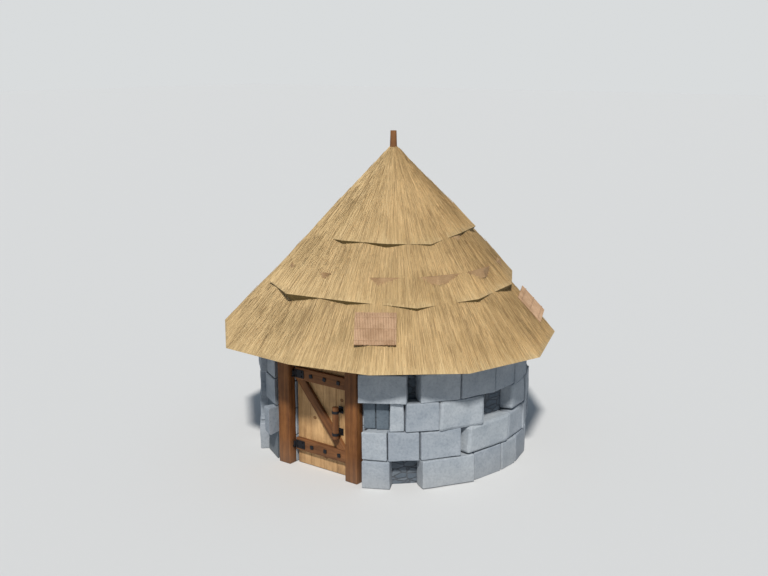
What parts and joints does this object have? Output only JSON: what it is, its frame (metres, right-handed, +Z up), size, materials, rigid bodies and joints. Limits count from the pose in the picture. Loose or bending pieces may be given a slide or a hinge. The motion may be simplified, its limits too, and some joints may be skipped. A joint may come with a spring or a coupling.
{
  "type": "rondavel hut",
  "caption": "Round hut with a twelve-sided stone wall, a three-tier conical thatch roof on poles, and a ledged and braced plank door between two timber posts.",
  "frame": {"origin": "on the hut's vertical axis, at ground level", "axes": "+Z up; the doorway faces -Y; +X is to the right of someone who stands outside and faces the door"},
  "size_m": [5.68, 5.6831, 5.2806],
  "materials": {
    "stone": "rough-hewn pale blue-grey blocks on a darker core",
    "frame_timber": "dark rough-sawn posts and lintel",
    "roof_timber": "peeled poles, dull",
    "pole_timber": "weathered round pole",
    "thatch": "dry straw-coloured grass thatch",
    "matting": "pinkish-tan woven reed",
    "iron": "blackened wrought iron",
    "boards": "planed boards, light brown",
    "door_timber": "reddish-brown ledges, brace and pull"
  },
  "bodies": {
    "hut": {"wall_01": "stone", "wall_02": "stone", "wall_03": "stone", "wall_04": "stone", "wall_05": "stone", "wall_06": "stone", "wall_07": "stone", "wall_08": "stone", "wall_09": "stone", "wall_10": "stone", "jamb_left": "stone", "jamb_right": "stone", "wall_over_door": "stone", "lintel": "frame_timber", "post_left": "frame_timber", "post_right": "frame_timber", "wall_plate": "roof_timber", "crown_block": "roof_timber", "rafters": "roof_timber", "laths": "roof_timber", "thatch_bottom": "thatch", "thatch_middle": "thatch", "thatch_top": "thatch", "binding_lower": "matting", "binding_upper": "matting", "patch_front": "matting", "patch_side": "matting", "finial_pole": "pole_timber", "gudgeons": "iron"},
    "door": {"door_boards": "boards", "ledge_top": "door_timber", "ledge_bottom": "door_timber", "brace": "door_timber", "strap_top": "iron", "strap_bottom": "iron", "pull_lugs": "iron", "pull_bar": "door_timber"}
  },
  "joints": [
    {"name": "door_hinge", "type": "hinge", "parent": "hut", "child": "door", "pos_m": [-0.553, -1.90686, 0.9], "axis": [0, 0, -1], "range_deg": [0, 95]}
  ]
}
